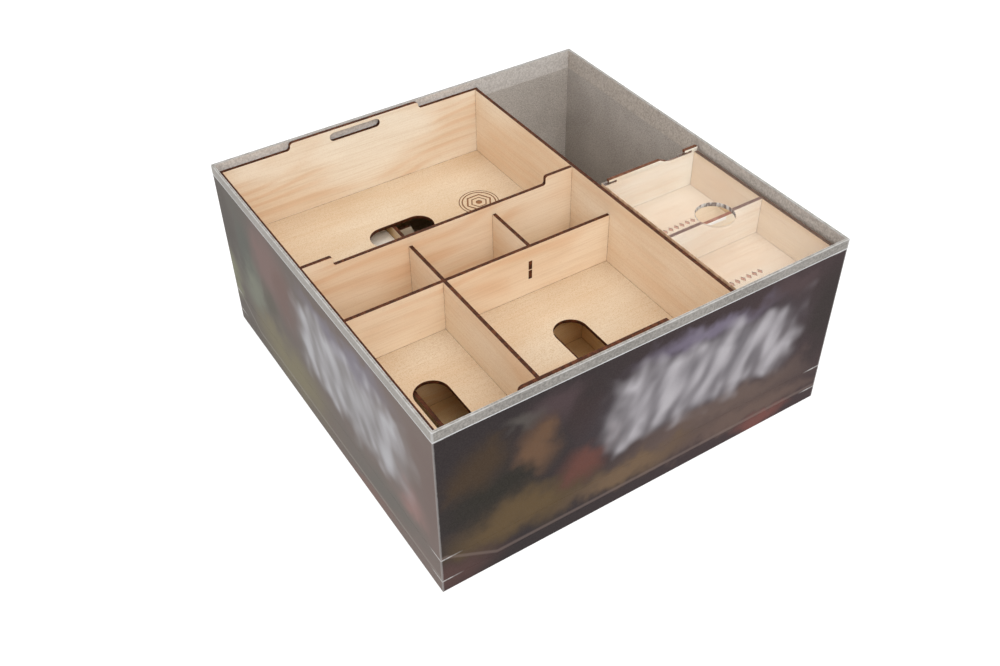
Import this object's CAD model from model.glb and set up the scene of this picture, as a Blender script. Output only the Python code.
import math

import bpy
from mathutils import Matrix, Vector


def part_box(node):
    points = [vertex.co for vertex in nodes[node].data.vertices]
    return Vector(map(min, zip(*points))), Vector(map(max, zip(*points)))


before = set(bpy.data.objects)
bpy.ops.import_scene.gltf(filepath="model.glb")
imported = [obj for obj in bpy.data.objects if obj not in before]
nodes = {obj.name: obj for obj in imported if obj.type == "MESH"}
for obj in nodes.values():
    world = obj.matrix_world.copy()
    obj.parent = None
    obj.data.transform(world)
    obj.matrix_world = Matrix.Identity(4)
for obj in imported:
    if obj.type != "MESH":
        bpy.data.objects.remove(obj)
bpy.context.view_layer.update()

scene = bpy.context.scene
scene.view_settings.view_transform = "Standard"

# ------------------------------------------------------------------ measures
# Blender's lengths are in metres. The patterns are worked out in millimetres, and so
# are the places and sizes below.
MM = 0.001
TO_MM = 1000.0
rim_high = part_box("rim_binding")[1]
half = rim_high.x * TO_MM  # half the carton's width and depth
top = rim_high.z * TO_MM
foot_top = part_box("foot_band")[1].z * TO_MM
band_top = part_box("middle_band")[1].z * TO_MM
wrap_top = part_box("printed_wrap")[1].z * TO_MM
big_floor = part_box("big_tray_floor")[1].z * TO_MM
token_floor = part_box("token_tray_floor")[1].z * TO_MM
lid_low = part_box("token_lid")[0].z * TO_MM
lid_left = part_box("token_lid")[0].x * TO_MM
RIM_WIDTH = 1.8  # the rim's thickness as seen from above
PRINT_HALF = 149.0  # half the width of the print on a side
HOLE = (104.0, -77.0, 0.0)  # middle of the lid's finger hole
HOLE_REACH = 14.0  # takes in the hole's wall and nothing else of the lid


# ------------------------------------------------------------- node building
class Graph:
    """A material's node tree with short calls for the nodes used here."""

    def __init__(self, name, roughness):
        self.material = bpy.data.materials.new(name)
        self.material.use_nodes = True
        self.tree = self.material.node_tree
        self.tree.nodes.clear()
        self.output = self.tree.nodes.new("ShaderNodeOutputMaterial")
        self.shader = self.tree.nodes.new("ShaderNodeBsdfPrincipled")
        self.shader.inputs["Roughness"].default_value = roughness
        self.tree.links.new(self.shader.outputs[0], self.output.inputs["Surface"])
        self.coords = self.tree.nodes.new("ShaderNodeTexCoord")

    def put(self, socket, value):
        """Link another socket to this one, or set its number or colour."""
        if isinstance(value, bpy.types.NodeSocket):
            self.tree.links.new(value, socket)
        elif isinstance(value, tuple) and len(value) == 3 and socket.type == "RGBA":
            socket.default_value = (*value, 1.0)
        else:
            socket.default_value = value

    def math(self, operation, a, b=0.0):
        node = self.tree.nodes.new("ShaderNodeMath")
        node.operation = operation
        for socket, value in zip(node.inputs, (a, b)):
            self.put(socket, value)
        return node.outputs[0]

    def vector(self, operation, a, b=(0.0, 0.0, 0.0), scale=1.0):
        node = self.tree.nodes.new("ShaderNodeVectorMath")
        node.operation = operation
        self.put(node.inputs[0], a)
        self.put(node.inputs[1], b)
        self.put(node.inputs[3], scale)
        return node.outputs["Value" if operation in ("LENGTH", "DOT_PRODUCT") else 0]

    def place(self):
        """Object coordinates in millimetres."""
        return self.vector("SCALE", self.coords.outputs["Object"], scale=TO_MM)

    def normal(self):
        """The way the surface faces, as X, Y and Z."""
        return self.split(self.coords.outputs["Normal"])

    def farther(self, a, b):
        """1 where a is farther from zero than b, else 0."""
        return self.math("GREATER_THAN", self.math("ABSOLUTE", a),
                         self.math("ABSOLUTE", b))

    def split(self, vector):
        node = self.tree.nodes.new("ShaderNodeSeparateXYZ")
        self.put(node.inputs[0], vector)
        return node.outputs

    def join(self, x, y, z):
        node = self.tree.nodes.new("ShaderNodeCombineXYZ")
        for socket, value in zip(node.inputs, (x, y, z)):
            self.put(socket, value)
        return node.outputs[0]

    def noise(self, vector, scale=1.0, detail=2.0, roughness=0.5):
        node = self.tree.nodes.new("ShaderNodeTexNoise")
        self.put(node.inputs["Vector"], vector)
        for name, value in (("Scale", scale), ("Detail", detail),
                            ("Roughness", roughness)):
            node.inputs[name].default_value = value
        return node.outputs["Fac"]

    def spread(self, value, low, high, to_low=0.0, to_high=1.0):
        """A smooth ramp from to_low, at low, to to_high, at high."""
        node = self.tree.nodes.new("ShaderNodeMapRange")
        node.interpolation_type = "SMOOTHSTEP"
        for socket, item in zip(node.inputs, (value, low, high, to_low, to_high)):
            self.put(socket, item)
        return node.outputs[0]

    def mix(self, factor, a, b, how="MIX"):
        node = self.tree.nodes.new("ShaderNodeMix")
        node.data_type = "RGBA"
        node.blend_type = how
        self.put(node.inputs["Factor"], factor)
        self.put(node.inputs[6], a)
        self.put(node.inputs[7], b)
        return node.outputs[2]

    def openness(self, distance):
        """How open a point is within some distance: 1 open, 0 covered."""
        node = self.tree.nodes.new("ShaderNodeAmbientOcclusion")
        node.samples = 6
        node.inputs["Distance"].default_value = distance
        return node.outputs["AO"]

    def seam(self, distance):
        """1 in the seam between two boards, 0 away from it."""
        return self.spread(self.openness(distance), 0.45, 0.95, 1.0, 0.0)

    def bump(self, height, distance, strength=1.0):
        node = self.tree.nodes.new("ShaderNodeBump")
        node.inputs["Strength"].default_value = strength
        node.inputs["Distance"].default_value = distance
        self.put(node.inputs["Height"], height)
        self.put(self.shader.inputs["Normal"], node.outputs[0])

    def closure(self, kind, colour):
        """A shader other than the main one, of some kind and colour."""
        node = self.tree.nodes.new(kind)
        self.put(node.inputs[0], colour)
        return node.outputs[0]

    def blend(self, factor, one, two):
        """Two shaders mixed."""
        node = self.tree.nodes.new("ShaderNodeMixShader")
        for socket, value in zip(node.inputs, (factor, one, two)):
            self.put(socket, value)
        return node.outputs[0]

    def ray(self, kind):
        """1 for rays of one kind, such as "Is Shadow Ray"."""
        return self.tree.nodes.new("ShaderNodeLightPath").outputs[kind]

    def finish(self, colour):
        self.put(self.shader.inputs["Base Color"], colour)
        return self.material


def srgb(r, g, b):
    """A colour given as screen values 0 to 255, turned linear."""
    def linear(v):
        v /= 255.0
        return v / 12.92 if v <= 0.04045 else ((v + 0.055) / 1.055) ** 2.4
    return (linear(r), linear(g), linear(b))


# ------------------------------------------------------------------ materials
# Laser-cut edges and engraved wood, each between two tones.
CHARRED = (srgb(58, 27, 10), srgb(98, 52, 26))
SCORCHED = (srgb(116, 72, 42), srgb(150, 102, 66))
# How near another surface counts as a joint, a cover and a neighbour.
JOINT_REACH = 0.5 * MM
COVER_REACH = 60.0 * MM
NEIGHBOUR_REACH = 120.0 * MM


def plywood(name, across, grain, engraved=None, speckle=0.3, warmth=0.0, figured=0.3,
            shade=(1.0, 1.0, 1.0), seam=0.65, seam_top=None, charred=CHARRED,
            scorched=SCORCHED, roofed=False, glint=None):
    """Maple plywood whose faces lie across one axis. The cut edges are charred, an
    engraved level, if given, is scorched, roofed wood darkens while covered, and all of
    it is toned down where nothing stands near, as outside a tray that is held up."""
    g = Graph(name, roughness=0.7)
    g.shader.inputs["Specular IOR Level"].default_value = 0.22
    p = g.split(g.place())
    axes = {"X": p[0], "Y": p[1], "Z": p[2]}
    side = [a for a in "XYZ" if a not in (across, grain)][0]
    a, c, t = axes[grain], axes[side], axes[across]
    layer = g.math("MULTIPLY", t, 0.37)

    def stretched(along, over, **noise):
        place = g.join(g.math("MULTIPLY", a, along), g.math("MULTIPLY", c, over), layer)
        return g.noise(place, **noise)

    cloud = stretched(0.009, 0.020, detail=2.0)
    sway = g.math("MULTIPLY", stretched(0.0050, 0.014, detail=1.5), 34.0)
    figure = g.math("ADD", g.math("MULTIPLY", c, 0.34), sway)
    rings = g.math("SINE", g.math("MULTIPLY", figure, 1.7))
    rings = g.math("MULTIPLY", g.spread(rings, -0.35, 1.0), g.spread(cloud, 0.42, 0.58))
    fibre = stretched(0.022, 0.75, detail=3.0, roughness=0.6)
    fleck = stretched(0.30, 1.2, detail=1.0)
    grit = g.noise(g.join(a, c, layer), scale=1.3, detail=3.0, roughness=0.8)
    patch = g.noise(g.join(a, c, layer), scale=0.016, detail=1.0)

    def toned(*colour):
        return tuple(min(v * k, 0.95) for v, k in zip(srgb(*colour), shade))

    deep = toned(190, 158, 120)
    wood = g.mix(g.spread(cloud, 0.36, 0.64), toned(236, 226, 208), toned(226, 206, 181))
    wood = g.mix(warmth, wood, toned(200, 176, 144))
    wood = g.mix(g.math("MULTIPLY", rings, figured), wood, toned(212, 166, 122))
    wood = g.mix(g.math("MULTIPLY", g.spread(fibre, 0.40, 0.75), 0.24), wood, deep)
    wood = g.mix(g.math("MULTIPLY", g.spread(fleck, 0.66, 0.80), 0.24), wood, deep)
    wood = g.mix(g.math("MULTIPLY", g.spread(patch, 0.40, 0.60), speckle * 0.25), wood, deep)
    wood = g.mix(g.math("MULTIPLY", g.spread(grit, 0.46, 0.66), speckle), wood, deep)

    joint = g.math("MULTIPLY", g.seam(JOINT_REACH),
                   g.spread(fleck, 0.35, 0.60, seam * 0.4, seam))
    if seam_top is not None:
        joint = g.math("MULTIPLY", joint, g.math("LESS_THAN", p[2], seam_top))
    wood = g.mix(joint, wood, srgb(92, 58, 32))

    if engraved is not None:
        depth = g.math("SUBTRACT", engraved, p[2])
        sunk = g.math("MULTIPLY", g.spread(depth, 0.05, 0.15),
                      g.spread(depth, 0.6, 0.8, 1.0, 0.0))
        burnt = g.mix(g.spread(grit, 0.35, 0.65), *scorched)
        wood = g.mix(g.math("MULTIPLY", sunk, 0.92), wood, burnt)
    if glint is not None:
        off = g.vector("SUBTRACT", g.join(p[0], p[2], 0.0), glint)
        off = g.split(g.vector("ABSOLUTE", off))
        lit = g.math("MULTIPLY", g.spread(off[0], 8.5, 9.5, 1.0, 0.0),
                     g.spread(off[1], 1.1, 1.4, 1.0, 0.0))
        wood = g.mix(lit, wood, (0.95, 0.95, 0.95))
    if roofed:
        covered = g.spread(g.openness(COVER_REACH), 0.15, 0.60, 1.0, 0.0)
        wood = g.mix(covered, wood, (0.90, 0.70, 0.42), "MULTIPLY")
    bare = g.spread(g.openness(NEIGHBOUR_REACH), 0.88, 1.0)
    wood = g.mix(bare, wood, (0.80, 0.76, 0.70), "MULTIPLY")

    soot = g.noise(g.join(p[0], p[1], p[2]), scale=0.30, detail=3.0, roughness=0.65)
    edge = g.mix(g.spread(soot, 0.38, 0.72), *charred)
    facing = g.normal()["XYZ".index(across)]
    cut = g.spread(g.math("ABSOLUTE", facing), 0.80, 0.95, 1.0, 0.0)
    g.bump(g.math("ADD", g.math("MULTIPLY", fibre, 0.6), g.math("MULTIPLY", grit, 0.4)),
           0.03 * MM, 0.4)
    return g.finish(g.mix(cut, wood, edge))


def paper(name, dark, light, scale, depth):
    """A plain fibrous paper or board with a mottled tone."""
    g = Graph(name, roughness=0.85)
    g.shader.inputs["Specular IOR Level"].default_value = 0.2
    p = g.place()
    tooth = g.noise(p, scale=scale, detail=4.0, roughness=0.7)
    cloud = g.noise(p, scale=0.02, detail=3.0)
    mixed = g.math("ADD", g.math("MULTIPLY", tooth, 0.75),
                   g.math("MULTIPLY", cloud, 0.25))
    g.bump(tooth, depth)
    return g, p, g.mix(g.spread(mixed, 0.36, 0.64), dark, light)


def corner_wear(g, p, reach, ragged=0.8):
    """Whitened paper near the carton's four upright edges: 1 on the edge."""
    x, y, _ = g.split(p)
    off_x = g.math("SUBTRACT", half, g.math("ABSOLUTE", x))
    off_y = g.math("SUBTRACT", half, g.math("ABSOLUTE", y))
    off = g.math("MAXIMUM", off_x, off_y)
    rough = g.noise(p, scale=0.22, detail=5.0, roughness=0.75)
    off = g.math("ADD", off, g.math("MULTIPLY", rough, -reach * ragged))
    return g.spread(off, 0.0, reach, 1.0, 0.0)


def level_line(g, p, z, width, faintest):
    """A thin ragged white line round the carton at height z, nowhere under faintest."""
    height = g.split(p)[2]
    along = g.noise(g.vector("MULTIPLY", p, (0.09, 0.09, 0.0)), detail=4.0, roughness=0.7)
    near = g.math("ABSOLUTE", g.math("SUBTRACT", height, z))
    return g.math("MULTIPLY", g.spread(near, width * 0.4, width, 1.0, 0.0),
                  g.spread(along, 0.35, 0.62, faintest, 1.0))


def rim_paper():
    """Grey textured paper over the rim: its own tone outside, on top and inside, and
    rubbed white along the edges."""
    g, p, outside = paper("rim_paper", srgb(114, 111, 107), srgb(148, 144, 139), 0.55,
                          0.08 * MM)
    x, y, z = g.split(p)
    tooth = g.spread(g.noise(p, scale=0.75, detail=4.0, roughness=0.75), 0.36, 0.64)
    reach = g.math("MAXIMUM", g.math("ABSOLUTE", x), g.math("ABSOLUTE", y))
    off = g.math("SUBTRACT", half, reach)
    down = g.math("SUBTRACT", top, z)
    ends = g.farther(x, y)
    outside = g.mix(g.math("MULTIPLY", ends, 0.5), outside, srgb(166, 162, 156))
    inside = g.mix(ends, g.mix(tooth, srgb(180, 174, 169), srgb(210, 205, 200)),
                   g.mix(tooth, srgb(160, 151, 143), srgb(194, 186, 178)))
    crown = g.mix(tooth, srgb(128, 124, 118), srgb(160, 155, 148))
    upward = g.math("GREATER_THAN", g.normal()[2], 0.7)
    inward = g.math("GREATER_THAN", off, 1.0)
    colour = g.mix(upward, g.mix(inward, outside, inside), crown)

    across = g.math("MINIMUM", off, g.math("SUBTRACT", RIM_WIDTH, off))
    edge = g.math("ADD", g.math("MULTIPLY", across, upward),
                  g.math("MULTIPLY", down, g.math("SUBTRACT", 1.0, upward)))
    ragged = g.noise(p, scale=0.16, detail=4.0, roughness=0.7)
    edge = g.math("ADD", edge, g.spread(ragged, 0.3, 0.7, 0.25, -0.25))
    crest = g.spread(edge, 0.15, 0.65, 1.0, 0.0)
    colour = g.mix(g.math("MULTIPLY", crest, 0.85), colour, srgb(184, 183, 181))
    outward = g.math("SUBTRACT", 1.0, inward)
    line = g.math("MULTIPLY", level_line(g, p, wrap_top, 1.0, 0.7), outward)
    colour = g.mix(g.math("MULTIPLY", line, 0.95), colour, srgb(206, 207, 208))
    return g.finish(g.mix(g.math("MULTIPLY", corner_wear(g, p, 1.1), 0.5), colour,
                          srgb(186, 186, 186)))


SHEEN = 0.022  # the light that the print's gloss adds
INK_SHARE = 0.55  # evens out the studio's bright light
BLACKEST = 0.004


def ink(r, g, b):
    """A printed colour, held down so that it reads as (r, g, b) in the studio."""
    return tuple(max(v - SHEEN, BLACKEST) * INK_SHARE for v in srgb(r, g, b))


def blob(g, place, colour, tint, u, z, wide, high, strength):
    """One soft patch of a tint, centred on (u, z)."""
    off = g.vector("MULTIPLY", g.vector("SUBTRACT", place, (u, z, 0.0)),
                   (1.0 / wide, 1.0 / high, 0.0))
    mask = g.spread(g.vector("LENGTH", off), 0.15, 1.0, strength, 0.0)
    return g.mix(mask, colour, tint)


FEATHER = 30.0  # how far a smear fades out at its ends


def smear(g, colour, tint, u, z, left, right):
    """Pale uneven brush strokes between two places along a face."""
    ragged = g.noise(g.join(u, z, 0.0), scale=0.05, detail=1.0)
    ragged = g.math("MULTIPLY", g.math("SUBTRACT", ragged, 0.5), 40.0)
    wide, high = g.math("ADD", u, ragged), g.math("ADD", z, ragged)
    inside = g.math("MULTIPLY", g.spread(wide, left, left + FEATHER),
                    g.spread(wide, right - FEATHER, right, 1.0, 0.0))
    inside = g.math("MULTIPLY", inside, g.math("MULTIPLY", g.spread(high, 40.0, 62.0),
                                               g.spread(high, 96.0, 116.0, 1.0, 0.0)))
    lean = g.math("SUBTRACT", u, g.math("MULTIPLY", z, 0.4))
    brush = g.noise(g.join(g.math("MULTIPLY", lean, 0.075), g.math("MULTIPLY", z, 0.035),
                           0.0), detail=0.5)
    return g.mix(g.math("MULTIPLY", inside, g.spread(brush, 0.28, 0.72, 0.26, 1.0)),
                 colour, tint)


def border_line(g, along, z):
    """A soft pale line of the print: down from the left end, then level."""
    slope = g.math("SUBTRACT", 33.0, g.math("MULTIPLY", along, 0.55))
    path = g.math("MAXIMUM", g.math("MINIMUM", slope, 31.0), 12.0)
    return g.spread(g.math("ABSOLUTE", g.math("SUBTRACT", z, path)), 0.4, 2.2, 1.0, 0.0)


def printed_paper():
    """The carton's printed sides: plain soft patches of colour and pale smears, with
    nothing drawn. Front and back take one layout and the two ends another."""
    g = Graph("printed_paper", roughness=0.6)
    g.shader.inputs["Specular IOR Level"].default_value = 0.15
    p = g.place()
    x, y, z = g.split(p)
    wobble = g.noise(p, scale=0.030, detail=3.0, roughness=0.6)
    shift = g.math("MULTIPLY", g.math("SUBTRACT", wobble, 0.5), 44.0)
    front_place = g.join(g.math("ADD", x, shift), g.math("ADD", z, shift), 0.0)
    side_place = g.join(g.math("ADD", y, shift), g.math("ADD", z, shift), 0.0)

    face = g.mix(g.spread(x, -120.0, 120.0), ink(64, 57, 58), ink(80, 65, 67))
    for item in FRONT_PATCHES:
        face = blob(g, front_place, face, *item)
    face = smear(g, face, ink(214, 209, 214), x, z, -42.0, 126.0)
    face = g.mix(g.math("MULTIPLY", border_line(g, g.math("ADD", x, PRINT_HALF), z), 0.4),
                 face, ink(160, 140, 132))
    side = g.mix(g.spread(y, -150.0, 150.0), ink(146, 130, 123), ink(122, 114, 107))
    for item in SIDE_PATCHES:
        side = blob(g, side_place, side, *item)
    side = smear(g, side, ink(216, 214, 218), y, z, -128.0, 38.0)
    line = border_line(g, g.math("SUBTRACT", PRINT_HALF, y), z)
    side = g.mix(g.math("MULTIPLY", line, 0.4), side, ink(184, 176, 168))

    normal = g.normal()
    colour = g.mix(g.farther(normal[0], normal[1]), face, side)
    grain = g.noise(p, scale=1.4, detail=2.0)
    colour = g.mix(g.math("MULTIPLY", g.spread(grain, 0.3, 0.7), 0.06), colour,
                   ink(150, 140, 135))
    low = g.math("MINIMUM", g.math("ABSOLUTE", x), g.math("ABSOLUTE", y))
    near_corner = g.spread(low, half - 16.0, half - 5.0, 0.0, 0.9)
    for height in (foot_top, band_top, wrap_top):
        line = g.math("MULTIPLY", level_line(g, p, height, 0.7, 0.4), near_corner)
        colour = g.mix(line, colour, srgb(186, 184, 182))
    return g.finish(g.mix(g.math("MULTIPLY", corner_wear(g, p, 0.8, 1.2), 0.55), colour,
                          srgb(150, 146, 144)))


# Each patch: tint, place along the face, height, half width, half height, strength.
FRONT_PATCHES = [
    (ink(124, 104, 96), 60, 38, 120, 22, 0.95),
    (ink(126, 104, 95), 84, 18, 100, 14, 0.95),
    (ink(118, 96, 66), -92, 36, 74, 28, 0.95),
    (ink(140, 114, 88), -14, 24, 66, 16, 0.9),
    (ink(104, 78, 74), -142, 12, 46, 24, 0.9),
    (ink(56, 53, 46), -112, 66, 48, 26, 0.9),
    (ink(92, 72, 50), -122, 92, 26, 24, 0.7),
    (ink(132, 100, 76), -82, 86, 24, 30, 0.9),
    (ink(112, 106, 100), -92, 112, 22, 12, 0.7),
    (ink(98, 80, 83), -68, 114, 30, 22, 0.8),
    (ink(72, 58, 58), -46, 96, 18, 34, 0.9),
    (ink(128, 82, 72), -46, 54, 26, 24, 0.9),
    (ink(92, 86, 94), 40, 82, 112, 50, 0.9),
    (ink(140, 130, 150), 40, 114, 70, 14, 0.95),
    (ink(98, 80, 82), 108, 118, 34, 16, 0.8),
    (ink(66, 57, 56), 142, 84, 26, 56, 0.95),
    (ink(146, 92, 84), 96, 4, 34, 10, 0.85),
]
SIDE_PATCHES = [
    (ink(150, 124, 118), 70, 102, 46, 50, 0.95),
    (ink(112, 114, 106), 112, 88, 34, 50, 0.9),
    (ink(148, 150, 134), 104, 58, 34, 34, 0.95),
    (ink(106, 99, 93), 142, 92, 22, 60, 0.8),
    (ink(158, 158, 130), 146, 46, 20, 28, 0.9),
    (ink(140, 112, 104), 44, 88, 26, 40, 0.9),
    (ink(112, 107, 95), 74, 62, 22, 22, 0.8),
    (ink(152, 143, 115), 52, 24, 88, 32, 0.95),
    (ink(140, 134, 132), -40, 80, 110, 50, 0.9),
    (ink(140, 121, 115), -140, 84, 26, 76, 0.95),
    (ink(176, 140, 134), -116, 48, 24, 24, 0.9),
    (ink(128, 124, 117), -80, 24, 90, 22, 0.85),
    (ink(156, 150, 162), -44, 114, 84, 16, 0.9),
    (ink(150, 122, 113), -60, 4, 60, 9, 0.8),
]


CLEAR = (0.97, 0.97, 0.97)  # what the lid lets through


def clear_acrylic():
    """Clear sheet with a faint warm haze: refracts for the eye and lets lamps straight
    through. Its left edge is dull, the other outer edges vanish, and the far wall
    of its finger hole glints."""
    g = Graph("clear_acrylic", roughness=0.02)
    g.shader.inputs["Base Color"].default_value = (1.0, 1.0, 1.0, 1.0)
    g.shader.inputs["Transmission Weight"].default_value = 1.0
    g.shader.inputs["IOR"].default_value = 1.49

    p = g.place()
    x, y, _ = g.split(p)
    arm = g.vector("SUBTRACT", g.join(x, y, 0.0), HOLE)
    at_hole = g.math("LESS_THAN", g.vector("LENGTH", arm), HOLE_REACH)
    far = g.vector("DOT_PRODUCT", g.vector("NORMALIZE", arm), (0.30, 0.95, 0.0))
    speck = g.noise(g.vector("MULTIPLY", p, (0.30, 0.30, 0.10)), detail=2.0)
    shine = g.math("MULTIPLY", g.spread(far, -0.30, 0.25, 0.15, 0.75), at_hole)
    patchy = g.spread(speck, 0.42, 0.58)
    wall = g.closure("ShaderNodeBsdfDiffuse",
                     g.mix(patchy, (0.24, 0.19, 0.17), (0.74, 0.72, 0.70)))
    dull = g.closure("ShaderNodeBsdfDiffuse",
                     g.mix(patchy, srgb(196, 170, 142), srgb(222, 198, 172)))
    edge = g.blend(shine, g.closure("ShaderNodeBsdfTransparent", CLEAR), wall)
    edge = g.blend(g.math("LESS_THAN", x, lid_left + 0.5), edge, dull)
    upright = g.math("LESS_THAN", g.math("ABSOLUTE", g.normal()[2]), 0.97)
    haze = g.closure("ShaderNodeBsdfDiffuse", (0.90, 0.72, 0.60))
    sheet = g.blend(0.06, g.shader.outputs[0], haze)
    g.put(g.output.inputs["Surface"],
          g.blend(g.ray("Is Shadow Ray"), g.blend(upright, sheet, edge),
                  g.closure("ShaderNodeBsdfTransparent", CLEAR)))
    return g.material


def board(name, dark, light, scale, depth):
    g, _, tone = paper(name, dark, light, scale, depth)
    return g.finish(tone)


def wall_lining():
    """Lining paper on the carton's walls, a shade darker on the two end walls."""
    g, p, tone = paper("wall_lining_paper", srgb(158, 151, 144), srgb(204, 197, 190), 1.1,
                       0.08 * MM)
    x, y, _ = g.split(p)
    ends = g.farther(x, y)
    return g.finish(g.mix(ends, tone, (0.84, 0.84, 0.85), "MULTIPLY"))


# What the token tray's panels share, seen through the lid.
UNDER_LID = {"seam_top": lid_low - 1.0, "seam": 0.55, "figured": 0.12}
LID_RIM = (srgb(92, 54, 36), srgb(124, 80, 56))
LID_RIM_PALE = (srgb(156, 118, 90), srgb(186, 150, 120))
DIVIDER_TOP = (srgb(142, 98, 82), srgb(172, 128, 112))
# Middle of the glint on the divider: along X, then up.
DIVIDER_GLINT = (HOLE[0] - 1.0, lid_low - 1.4, 0.0)

materials = {
    "big_flat": plywood("plywood_big_floor", "Z", "X", engraved=big_floor, speckle=0.75,
                        warmth=0.48, figured=0.06),
    "big_front": plywood("plywood_big_front", "Y", "X", speckle=0.16, figured=0.32,
                         shade=(1.03, 1.04, 1.055)),
    "big_cross": plywood("plywood_big_cross", "Y", "X", speckle=0.16, figured=0.34,
                         shade=(1.055, 0.99, 0.93)),
    "big_side": plywood("plywood_big_side", "X", "Y", warmth=0.20, figured=0.14,
                        shade=(1.05, 1.01, 0.98)),
    "token_flat": plywood("plywood_token_floor", "Z", "X", engraved=token_floor,
                          shade=(0.93, 0.92, 0.91),
                          scorched=(srgb(150, 88, 60), srgb(184, 122, 90)), **UNDER_LID),
    "token_front": plywood("plywood_token_front", "Y", "X", speckle=0.12,
                           shade=(1.11, 1.20, 1.29), charred=LID_RIM, **UNDER_LID),
    "token_side": plywood("plywood_token_side", "X", "Y", shade=(0.98, 0.91, 0.81),
                          charred=LID_RIM, **UNDER_LID),
    "token_left": plywood("plywood_token_left", "X", "Y", shade=(0.98, 0.91, 0.81),
                          charred=LID_RIM_PALE, **UNDER_LID),
    "token_split": plywood("plywood_token_divider", "Y", "X", speckle=0.12,
                           shade=(1.13, 1.23, 1.34), charred=DIVIDER_TOP,
                           glint=DIVIDER_GLINT, **UNDER_LID),
    "low_flat": plywood("plywood_low_floor", "Z", "X", speckle=0.45, warmth=0.5,
                        roofed=True),
    "low_front": plywood("plywood_low_front", "Y", "X", warmth=0.2, roofed=True),
    "low_side": plywood("plywood_low_side", "X", "Y", warmth=0.3, roofed=True),
    "greyboard": board("greyboard", srgb(112, 110, 106), srgb(140, 137, 132), 0.7,
                       0.06 * MM),
    "lining": board("lining_paper", srgb(158, 150, 141), srgb(204, 196, 186), 1.1,
                    0.08 * MM),
    "wall_lining": wall_lining(),
    "card": board("pale_card", srgb(232, 222, 208), srgb(244, 234, 220), 0.6, 0.05 * MM),
    "rim": rim_paper(),
    "print": printed_paper(),
    "lid": clear_acrylic(),
}

NAMED = {
    "rim_binding": "rim", "printed_wrap": "print", "middle_band": "print",
    "foot_band": "print", "wall_lining": "wall_lining", "base_lining": "lining",
    "card_spacer": "card", "token_lid": "lid", "token_divider": "token_split",
    "token_tray_left_wall": "token_left",
    "rear_cross_wall": "big_cross", "front_cross_wall": "big_cross",
}


# Bevel widths, and how near two points are welded.
BEVELS = {"rim": 0.09, "print": 0.07, "lining": 0.05, "wall_lining": 0.05}
BOARD_BEVEL = 0.14
WELD = 0.002


def plywood_of(name):
    """The plywood for a panel: which tray it is in, and which way it lies, which is
    the thinnest side of its box."""
    lower = name.startswith(("middle_", "bottom_", "rear_tray_", "lower_", "upper_"))
    tray = "token" if name.startswith("token_") else "low" if lower else "big"
    low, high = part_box(name)
    size = high - low
    lie = ("side", "front", "flat")[min(range(3), key=lambda i: size[i])]
    return tray + "_" + lie


for name, node in nodes.items():
    if name in NAMED:
        kind = NAMED[name]
    elif name.startswith("carton_"):
        kind = "greyboard"
    else:
        kind = plywood_of(name)
    node.data.materials.clear()
    node.data.materials.append(materials[kind])
    weld = node.modifiers.new("weld", "WELD")
    weld.merge_threshold = WELD * MM
    bevel = node.modifiers.new("bevel", "BEVEL")
    bevel.width = BEVELS.get(kind, BOARD_BEVEL) * MM
    bevel.segments = 2
    bevel.limit_method = "ANGLE"
    bevel.angle_limit = math.radians(40)
    bevel.harden_normals = True

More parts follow.
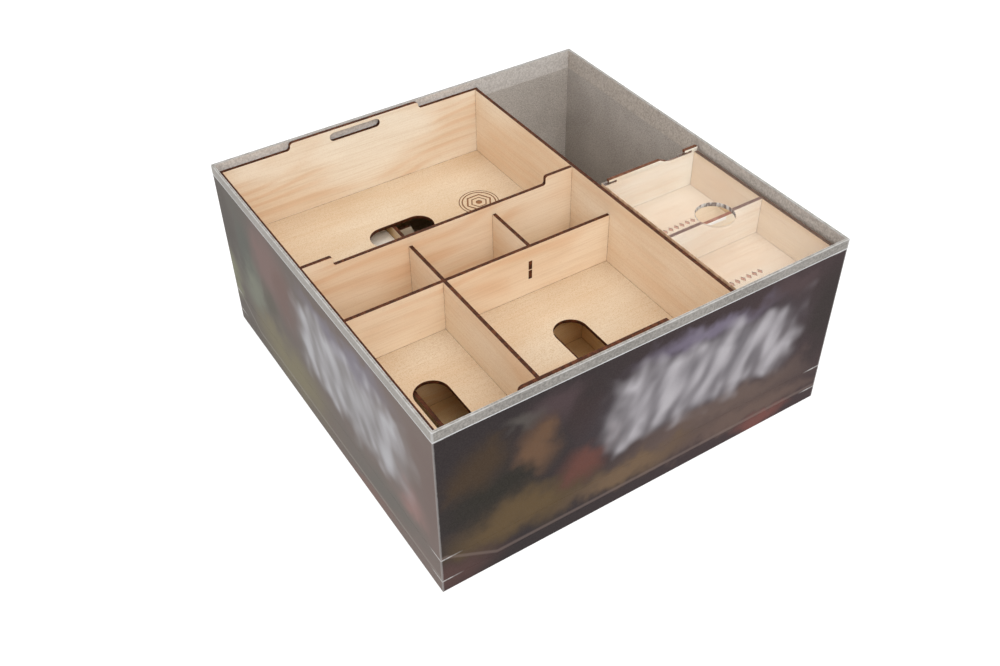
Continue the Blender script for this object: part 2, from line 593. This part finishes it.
# ------------------------------------------------------------ stage and light
STAGE_HALF = 6.0
STAGE_DROP = 0.2 * MM  # keeps the floor just clear of the carton's base
STAGE_GREY = (0.30, 0.30, 0.30)
STAGE_GLOW = 0.80
SKY_STRENGTH = 0.9
floor_mesh = bpy.data.meshes.new("stage_floor")
corners = [(x * STAGE_HALF, y * STAGE_HALF, 0)
           for x, y in ((-1, -1), (1, -1), (1, 1), (-1, 1))]
floor_mesh.from_pydata(corners, [], [(0, 1, 2, 3)])
stage = bpy.data.objects.new("stage_floor", floor_mesh)
stage.location.z = -STAGE_DROP
scene.collection.objects.link(stage)
white = Graph("stage_white", roughness=0.9)
white.shader.inputs["Emission Color"].default_value = (1.0, 1.0, 1.0, 1.0)
white.shader.inputs["Emission Strength"].default_value = STAGE_GLOW
floor_mesh.materials.append(white.finish(STAGE_GREY))

world = bpy.data.worlds.new("studio")
world.use_nodes = True
sky = world.node_tree.nodes["Background"]
sky.inputs["Color"].default_value = (1.0, 1.0, 1.0, 1.0)
sky.inputs["Strength"].default_value = SKY_STRENGTH
scene.world = world


def area(name, place, size, power):
    """A white rectangular lamp that faces the middle of the object."""
    data = bpy.data.lights.new(name, "AREA")
    data.shape = "RECTANGLE"
    data.size, data.size_y = size
    data.energy = power
    lamp = bpy.data.objects.new(name, data)
    lamp.location = place
    way = LAMP_TARGET - Vector(place)
    lamp.rotation_mode = "QUATERNION"
    lamp.rotation_quaternion = way.to_track_quat("-Z", "Y")
    scene.collection.objects.link(lamp)


LAMP_TARGET = Vector((0.0, 0.0, 0.08))
area("key", (-0.3, -1.7, 1.6), (1.6, 1.2), 17.0)
area("top", (0.2, 0.2, 2.0), (1.8, 1.8), 12.0)
area("side", (-1.6, -0.6, 1.2), (1.4, 1.2), 5.0)

# --------------------------------------------------------------------- camera
AZIMUTH, ELEVATION, ROLL = (math.radians(v) for v in (-32.26, 41.73, -0.78))
CAMERA_PLACE = Vector((-0.3254, -0.4953, 0.5497))
LENS = 39.88
SENSOR = 36.0
back = Vector((math.sin(AZIMUTH) * math.cos(ELEVATION),
               -math.cos(AZIMUTH) * math.cos(ELEVATION), math.sin(ELEVATION)))
level = Vector((0, 0, 1)).cross(back).normalized()
rise = back.cross(level)
right = level * math.cos(ROLL) + rise * math.sin(ROLL)
up = rise * math.cos(ROLL) - level * math.sin(ROLL)
camera_data = bpy.data.cameras.new("camera")
camera_data.sensor_width = SENSOR
camera_data.lens = LENS
camera = bpy.data.objects.new("camera", camera_data)
turn = Matrix((right, up, back)).transposed().to_4x4()
camera.matrix_world = Matrix.Translation(CAMERA_PLACE) @ turn
scene.collection.objects.link(camera)
scene.camera = camera
